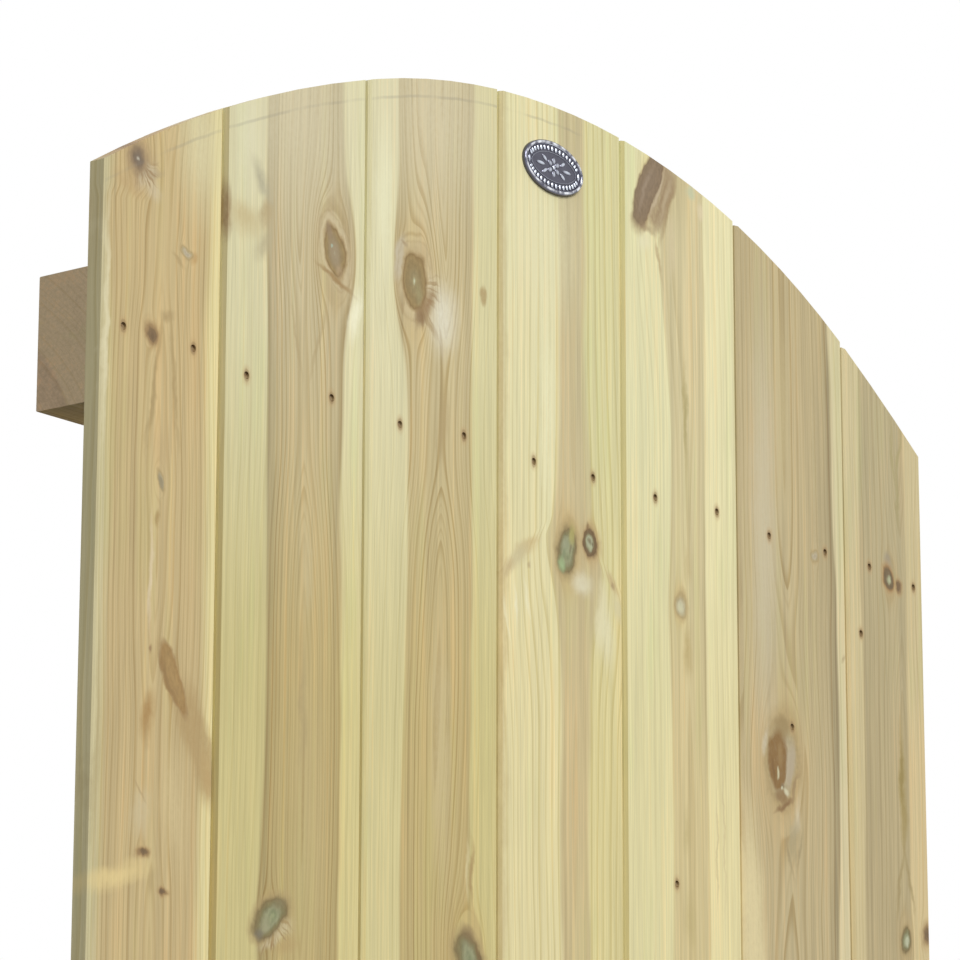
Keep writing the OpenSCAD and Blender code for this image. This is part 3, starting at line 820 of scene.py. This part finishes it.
board_finish(
    "board_6",
    seed=6,
    heart_edges=(204, 325),
    pith_behind=17,
    flame_x=267,
    ring_w=4.6,
    sap=((0.72, 0.62, 0.355), (0.695, 0.61, 0.37)),
    heart=(0.555, 0.457, 0.257),
    rings=(0.6, 1.0),
    rim=(0.10, 0.26),
    bulges=[(1452, 70, 8), (1320, 60, 5)],
    features=[
        mark(241, 1560, 40, 360, 0, (0.61, 0.54, 0.365), 0.75, 0.9),
        mark(220, 1270, 38, 190, -3, (0.79, 0.68, 0.385), 0.75, 0.7),
        mark(264, 1640, 28, 170, 0, (0.585, 0.49, 0.265), 0.6, 0.9),
        mark(312, 1560, 24, 420, 0, (0.43, 0.355, 0.20), 0.55, 0.95),
        mark(258, 1391, 44, 64, 4, (0.55, 0.45, 0.26), 0.7, 0.6),
        knot(259, 1391, 40, 62, 6, "pale", 0.95, 8),
        mark(240, 1404, 8, 26, 20, (0.66, 0.60, 0.44), 0.6, 0.9),
        mark(276, 1352, 10, 40, 20, (0.66, 0.60, 0.43), 0.6, 0.9),
        mark(260, 1416, 20, 18, 0, (0.34, 0.245, 0.11), 0.85, 0.6),
        mark(254, 1392, 26, 46, 6, (0.25, 0.145, 0.05), 0.97, 0.22),
        mark(257, 1398, 9, 22, 4, (0.35, 0.235, 0.10), 0.65, 0.8),
        mark(247, 1384, 4, 22, -10, (0.19, 0.105, 0.04), 0.6, 0.8),
        mark(271, 1390, 12, 42, 6, (0.47, 0.39, 0.27), 0.8, 0.6),
        mark(258, 1366, 22, 12, 10, (0.27, 0.17, 0.075), 0.85, 0.6),
        mark(273, 1337, 15, 42, 0, (0.41, 0.34, 0.19), 0.75, 0.8),
        mark(267, 1327, 3.5, 48, -13, (0.37, 0.29, 0.155), 0.7, 0.9),
        mark(279, 1329, 3.5, 48, 13, (0.37, 0.29, 0.155), 0.7, 0.9),
        mark(253, 1384, 3.5, 10, 10, (0.66, 0.62, 0.40), 0.9, 0.7),
        mark(259, 1374, 8, 6, 0, (0.22, 0.16, 0.085), 0.8, 0.8),
        mark(265, 1370, 11, 7, 30, (0.68, 0.64, 0.44), 0.9, 0.8),
        mark(258, 1372, 3, 4, 0, (0.68, 0.66, 0.46), 0.9, 0.8),
        mark(262, 1360, 4.5, 32, 62, (0.24, 0.14, 0.06), 0.85, 0.7),
        mark(276, 1374, 4, 30, 18, (0.32, 0.22, 0.11), 0.7, 0.8),
        knot(305, 1546, 8, 8, 0, "pale", 0.7, 0),
        mark(340, 1477, 5, 9, 30, (0.46, 0.36, 0.19), 0.7, 0.8),
    ],
)
board_finish(
    "board_7",
    seed=7,
    heart_edges=(365, 424),
    pith_behind=16,
    flame_x=417,
    ring_w=5.0,
    sap=((0.61, 0.53, 0.305), (0.60, 0.51, 0.29)),
    heart=(0.48, 0.41, 0.237),
    rings=(0.6, 0.7),
    tints=((1.09, 1.05, 1.02), (1.05, 1.045, 1.05)),
    bulges=[(1540, 70, 7)],
    features=[
        mark(412.5, 1642, 5, 72, -8, (0.41, 0.345, 0.165), 0.8, 0.9),
        mark(421, 1642, 5, 72, 7, (0.41, 0.345, 0.165), 0.8, 0.9),
        mark(417, 1603, 5, 44, 0, (0.38, 0.32, 0.15), 0.7, 0.9),
        mark(418, 1393, 10, 120, 0, (0.36, 0.275, 0.10), 0.85, 0.8),
        mark(418, 1404, 5, 50, 0, (0.30, 0.225, 0.075), 0.6, 0.8),
        mark(412, 1326, 5, 64, 15, (0.37, 0.285, 0.13), 0.75, 0.9),
        mark(424, 1326, 5, 64, -12, (0.37, 0.285, 0.13), 0.75, 0.9),
        mark(404, 1560, 13, 18, -5, (0.33, 0.29, 0.22), 0.75, 0.8),
        knot(404, 1548, 14.5, 17, 0, "eye", 1.0, 2),
        mark(414, 1552, 5, 26, -25, (0.40, 0.37, 0.20), 0.5, 0.8),
        knot(418, 1546, 6, 10, -18, "pin", 0.8, 0),
        knot(417, 1284, 14, 19, 0, "green", 1.0, 2),
        mark(418, 1283, 8, 10, 20, (0.56, 0.57, 0.39), 0.8, 0.7),
        knot(445, 1290, 9, 15, 0, "pin", 1.0, 0),
    ],
)

# Ledges
# Three sawn rails lie across the back, flush with the leaf's edges, and the boards are nailed to them.
# They are the same pine, rougher than the boards, and carry the hinges and the latch.
LEDGES = ["top_ledge", "middle_ledge", "bottom_ledge"]
SAWN_SAP = (0.60, 0.49, 0.28)
SAWN_HEART = (0.57, 0.45, 0.265)
SAWN_END = (0.92, 0.86, 0.98)
SAW_DEPTH = 0.05

# A rail is cut well away from its stem's pith, which lies beyond its upper back corner.
PITH_BESIDE = 58
PITH_BEHIND = 74
RAIL_HEART = 62


def rail_finish(node, seed, middle, turn, knots):
    """A rail's finish. middle is the height or the place across of its centre line, once it is turned."""
    material = timber(
        node + "_pine",
        seed,
        pith=(middle + PITH_BESIDE, board_back_y + PITH_BEHIND),
        heart_x=middle + PITH_BESIDE,
        heart_r=RAIL_HEART,
        ring_w=4.2,
        sap=(SAWN_SAP, SAWN_SAP),
        heart=SAWN_HEART,
        features=knots,
        turn=turn,
        sawn=SAW_DEPTH,
        ends=SAWN_END,
    )
    finish_node(node, material)


for number, node in enumerate(LEDGES):
    low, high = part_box(node)
    middle = -(low.z + high.z) * 500
    knots = [
        knot(middle + 12, -150 + 260 * number, 20, 30, 10, "brown", 1.0, 4),
        knot(middle - 16, 190 - 210 * number, 12, 17, -15, "dark", 1.0, 3),
    ]
    rail_finish(node, 20 + number, middle, math.radians(-90), knots)

# Braces
# Two rails of the same stuff rise from the hinge side to the latch side between the ledges, so that
# the leaf hangs from them in compression and can't drop at its latch end.
BRACES = ["upper_brace", "lower_brace"]
for number, node in enumerate(BRACES):
    low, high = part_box(node)
    foot = [corner.co.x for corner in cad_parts[node].data.vertices if corner.co.z < low.z + 0.001]
    tilt = math.atan2(high.z - low.z, (high.x - low.x) - (max(foot) - min(foot)))
    x = (low.x + high.x) * 500
    z = (low.z + high.z) * 500
    middle = x * math.sin(tilt) - z * math.cos(tilt)
    half_way = x * math.cos(tilt) + z * math.sin(tilt)
    knots = [knot(middle + 14, half_way + 150 - 240 * number, 18, 28, 5, "brown", 1.0, 4)]
    rail_finish(node, 30 + number, middle, tilt - math.radians(90), knots)

# Nails
# Round wire nails with small heads, driven from the front through the boards into the ledges and
# braces. They are left a little below the face, where they have browned.


def dull_steel(name, colour, rust, roughness):
    """Wire that has lost its shine and begun to brown."""
    material = bpy.data.materials.new(name)
    material.use_nodes = True
    tree = material.node_tree
    shader = tree.nodes["Principled BSDF"]
    place = Wire(tree, None).node("ShaderNodeTexCoord", {}, {}, "Object")
    spot = place.node("ShaderNodeMapping", {}, {"Vector": place, "Scale": (1000.0, 1000.0, 1000.0)})
    blot = ripple(spot, 1.4, 1.4, 1.4, 3.0)
    coat = paint(fade(blot, -0.6, 0.9), colour, rust)
    tree.links.new(coat.socket, shader.inputs["Base Color"])
    tree.links.new((roughness + blot * 0.12).socket, shader.inputs["Roughness"])
    shader.inputs["Metallic"].default_value = 0.25
    return material


nail_wire = dull_steel("nail_wire", colour=(0.36, 0.27, 0.15), rust=(0.27, 0.165, 0.075), roughness=0.6)
for node in NAIL_NODES:
    finish_node(node, nail_wire)

# Badge
# An oval plate pressed from thin brass and plated, with a rolled rim, a ring of raised studs and a
# rosette between leaves. Two spikes behind it are driven into the fourth board.
badge_low, badge_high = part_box("badge")
badge_w = badge_high.x - badge_low.x
badge_h = badge_high.z - badge_low.z
badge_x = (badge_low.x + badge_high.x) / 2
badge_z = (badge_low.z + badge_high.z) / 2
face_y = front_y / 1000
field_rise = 0.0017
spike_l = badge_high.y - face_y
spike_gap = 0.044
spike_r = 0.001
spike_root = 0.0005

# The rim's section from its foot inwards: how far each step goes in, and how far it rises.
RIM_STEPS = [
    (0.0, 0.0016),
    (0.00025, 0.0007),
    (0.0006, 0.0005),
    (0.0008, 0.0002),
    (0.0007, -0.0002),
    (0.0005, -0.0005),
    (0.0003, -0.0006),
    (0.0046, 0.0),
    (0.0002, 0.0004),
    (0.0005, 0.0),
    (0.0002, -0.0004),
]


def sunk_dome(form, x, z, size, lean):
    """A low raised oval on the badge's field, leaning by an angle. size is how wide, tall and proud it is."""
    wide, tall, rise = size
    matrix = (
        Matrix.Translation((badge_x + x, face_y - field_rise, badge_z + z))
        @ Matrix.Rotation(lean, 4, "Y")
        @ Matrix.Diagonal((wide / 2, rise, tall / 2, 1.0))
    )
    bmesh.ops.create_icosphere(form, subdivisions=2, radius=1.0, matrix=matrix)


badge_form = bmesh.new()
bmesh.ops.create_circle(badge_form, cap_ends=True, segments=96, radius=0.5)
bmesh.ops.scale(badge_form, vec=(badge_w, badge_h, 1.0), verts=badge_form.verts)
upright = Matrix.Rotation(math.radians(90), 3, "X")
bmesh.ops.rotate(badge_form, cent=(0, 0, 0), matrix=upright, verts=badge_form.verts)
bmesh.ops.translate(badge_form, vec=(badge_x, face_y, badge_z), verts=badge_form.verts)
back = badge_form.faces[:][0]
grown = bmesh.ops.extrude_face_region(badge_form, geom=[back], use_keep_orig=True)
front = [item for item in grown["geom"] if isinstance(item, bmesh.types.BMFace)][0]
for inwards, rise in RIM_STEPS:
    if inwards:
        bmesh.ops.inset_region(badge_form, faces=[front], thickness=inwards, use_even_offset=True)
    bmesh.ops.translate(badge_form, vec=(0, -rise, 0), verts=front.verts)
bmesh.ops.recalc_face_normals(badge_form, faces=badge_form.faces)

# A ring of studs stands in the outer band, with a gap and a larger boss at each end of the oval.
STUDS = 40
STUD_INSET = 0.0054
GAP_COSINE = 0.95
STUD = (0.0025, 0.0040, 0.0010)
END_BOSS = (0.0026, 0.0064, 0.0010)
band_w = badge_w / 2 - STUD_INSET
band_h = badge_h / 2 - STUD_INSET
for stud in range(STUDS):
    angle = math.tau * (stud + 0.5) / STUDS
    if abs(math.cos(angle)) > GAP_COSINE:
        continue
    outwards = math.atan2(math.cos(angle) / band_w, math.sin(angle) / band_h)
    sunk_dome(badge_form, band_w * math.cos(angle), band_h * math.sin(angle), STUD, outwards)
for way in (-1, 1):
    sunk_dome(badge_form, way * band_w, 0.0, END_BOSS, 0.0)

# The rosette has six petals round a boss, and three leaves spring from it to each side.
PETALS = 6
PETAL = (0.0042, 0.0058, 0.0006)
PETAL_REACH = 0.0046
BOSS = (0.0036, 0.0036, 0.0009)
LONG_LEAF = (0.0030, 0.0110, 0.0007)
SHORT_LEAF = (0.0030, 0.0072, 0.0007)
LEAF_SQUASH = 0.62

# Each leaf's lean from upright in degrees, how far out its middle stands, and its size.
LEAVES = [
    (90, 0.0145, LONG_LEAF),
    (55, 0.0122, SHORT_LEAF),
    (125, 0.0122, SHORT_LEAF),
]
for petal in range(PETALS):
    lean = math.tau * petal / PETALS
    sunk_dome(badge_form, PETAL_REACH * math.sin(lean), PETAL_REACH * math.cos(lean), PETAL, lean)
sunk_dome(badge_form, 0.0, 0.0, BOSS, 0.0)
for way in (-1, 1):
    for degrees, reach, leaf in LEAVES:
        lean = way * math.radians(degrees)
        sunk_dome(badge_form, reach * math.sin(lean), reach * math.cos(lean) * LEAF_SQUASH, leaf, lean)
for way in (-1, 1):
    middle = Matrix.Translation((badge_x + way * spike_gap / 2, face_y + (spike_l - spike_root) / 2, badge_z))
    bmesh.ops.create_cone(
        badge_form,
        cap_ends=True,
        segments=16,
        radius1=spike_r,
        radius2=spike_r * 0.15,
        depth=spike_l + spike_root,
        matrix=middle @ Matrix.Rotation(math.radians(-90), 4, "X"),
    )
badge_mesh = bpy.data.meshes.new("badge_plate")
badge_form.to_mesh(badge_mesh)
badge_form.free()
badge_mesh.shade_smooth()
badge_mesh.set_sharp_from_angle(angle=math.radians(50))
badge_plate = bpy.data.objects.new("badge_plate", badge_mesh)
bpy.context.scene.collection.objects.link(badge_plate)

# The plate's own bright colour on what stands up, with a painted dark reflection on the field and on the rim,
# and painted glints along the rim's ridge.
FIELD_DARK_REFLECTION = (0.11, 0.11, 0.14)
RAISED_PLATE = (0.68, 0.73, 0.82)
RIM_DARK_REFLECTION = (0.12, 0.12, 0.16)
RIDGE_GLINT = (0.80, 0.82, 0.86)

# Heights in mm over the field and over the board, and shares of the way out to the oval's edge.
RAISED_START, RAISED_FULL = 0.25, 0.75
RIDGE_FOOT, RIDGE_TOP = 2.6, 2.9
BAND_END, RIM_INSIDE = 0.82, 0.88
plated = bpy.data.materials.new("bright_plate")
plated.use_nodes = True
plated_tree = plated.node_tree
plated_shader = plated_tree.nodes["Principled BSDF"]
place = Wire(plated_tree, None).node("ShaderNodeTexCoord", {}, {}, "Object")
spot = place.node("ShaderNodeMapping", {}, {"Vector": place, "Scale": (1000.0, 1000.0, 1000.0)})
height = place.node("ShaderNodeSeparateXYZ", {}, {0: spot}, 1)
# Cloudy noise: smudges on the plate, and painted reflection where it mottles the colour and breaks up the
# glints.
smudges_and_reflections = ripple(spot, 5, 5, 5, 3.0)
field_y = front_y - field_rise * 1000
raised = fade(height + smudges_and_reflections * 0.08, field_y - RAISED_START, field_y - RAISED_FULL)
plate = paint(raised, FIELD_DARK_REFLECTION, RAISED_PLATE)
outline = mark(badge_x * 1000, badge_z * 1000, badge_w * 1000, badge_h * 1000)
edge = oval(place.node("ShaderNodeSeparateXYZ", {}, {0: spot}), height.other(2), outline)
on_rim = fade(edge, BAND_END, RIM_INSIDE)
# Painted glints in patches along the crest of the rim.
ridge_glint = fade(height, front_y - RIDGE_FOOT, front_y - RIDGE_TOP) * fade(smudges_and_reflections, -0.6, 0.5)
# The rim gets a painted dark reflection.
plate = paint(on_rim, plate, RIM_DARK_REFLECTION)
plate = paint(on_rim * ridge_glint, plate, RIDGE_GLINT)
# Cloudy mottling of the colour: painted reflection of the surroundings.
plate = shade(plate, smudges_and_reflections * 0.12 + 1.0)
plated_tree.links.new(plate.socket, plated_shader.inputs["Base Color"])
plated_tree.links.new((smudges_and_reflections * 0.05 + 0.2).socket, plated_shader.inputs["Roughness"])
plated_shader.inputs["Metallic"].default_value = 1.0
badge_mesh.materials.append(plated)
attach(badge_plate, "root")
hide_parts("badge")

# Floor, light and camera
# A pale floor and a white surround, with one large soft lamp in front and a weaker one behind.
# The floor is seen pale and sends little light up, so that undersides stay as dark as outdoors.
FLOOR_SEEN = (0.93, 0.93, 0.92)
FLOOR_SENT_UP = (0.05, 0.05, 0.045)
floor_mesh = bpy.data.meshes.new("studio_floor")
floor_form = bmesh.new()
bmesh.ops.create_grid(floor_form, x_segments=2, y_segments=2, size=30.0)
floor_form.to_mesh(floor_mesh)
floor_form.free()
studio_floor = bpy.data.objects.new("studio_floor", floor_mesh)
bpy.context.scene.collection.objects.link(studio_floor)
floor_material = bpy.data.materials.new("pale_floor")
floor_material.use_nodes = True
floor_tree = floor_material.node_tree
floor_shader = floor_tree.nodes["Principled BSDF"]
floor_shader.inputs["Roughness"].default_value = 0.9
sight = Wire(floor_tree, None).node("ShaderNodeLightPath", {}, {}, "Is Camera Ray")
seen = sight.maths("MAXIMUM", sight.other("Is Glossy Ray"))
floor_colour = paint(seen, FLOOR_SENT_UP, FLOOR_SEEN)
floor_tree.links.new(floor_colour.socket, floor_shader.inputs["Base Color"])
floor_mesh.materials.append(floor_material)

SKY_SEEN = (1.0, 1.0, 1.0)
SKY_LIGHT = (0.485, 0.485, 0.485)
world = bpy.data.worlds.new("studio")
bpy.context.scene.world = world
world.use_nodes = True
world_tree = world.node_tree
backdrop = world_tree.nodes["Background"]
sight = Wire(world_tree, None).node("ShaderNodeLightPath", {}, {}, "Is Camera Ray")
seen = sight.maths("MAXIMUM", sight.other("Is Glossy Ray"))
seen = seen.maths("MAXIMUM", sight.other("Is Transmission Ray"))
sky = paint(seen, SKY_LIGHT, SKY_SEEN)
world_tree.links.new(sky.socket, backdrop.inputs["Color"])


def soft_lamp(name, direction, away, size, watts):
    """A square lamp that faces the middle of the leaf from a direction."""
    data = bpy.data.lights.new(name, "AREA")
    data.shape = "SQUARE"
    data.size = size
    data.energy = watts
    lamp = bpy.data.objects.new(name, data)
    aim = Vector(direction).normalized()
    middle = Vector((0.0, 0.0, 1.0))
    lamp.location = middle + aim * away
    lamp.rotation_euler = aim.to_track_quat("Z", "Y").to_euler()
    lamp.visible_camera = False
    bpy.context.scene.collection.objects.link(lamp)


soft_lamp("front_lamp", direction=(-0.28, -0.78, 0.52), away=12.0, size=6.2, watts=1185)
soft_lamp("back_lamp", direction=(0.5, 0.8, 0.45), away=12.0, size=6.2, watts=980)

camera_data = bpy.data.cameras.new("camera")
camera = bpy.data.objects.new("camera", camera_data)
bpy.context.scene.collection.objects.link(camera)
bpy.context.scene.camera = camera
camera_data.sensor_width = 36.0
camera_data.lens = 164.126
camera_place = Vector((-2.259857, -1.682895, 0.861959))
yaw = 0.9183616
pitch = 0.2383852
roll = 0.0022942
forward = Vector((math.sin(yaw) * math.cos(pitch), math.cos(yaw) * math.cos(pitch), math.sin(pitch)))
level = Vector((math.cos(yaw), -math.sin(yaw), 0.0))
above = level.cross(forward)
right = level * math.cos(roll) + above * math.sin(roll)
up = right.cross(forward)
aimed = Matrix((right, up, -forward)).transposed().to_4x4()
camera.matrix_world = Matrix.Translation(camera_place) @ aimed

bpy.context.scene.view_settings.view_transform = "Standard"
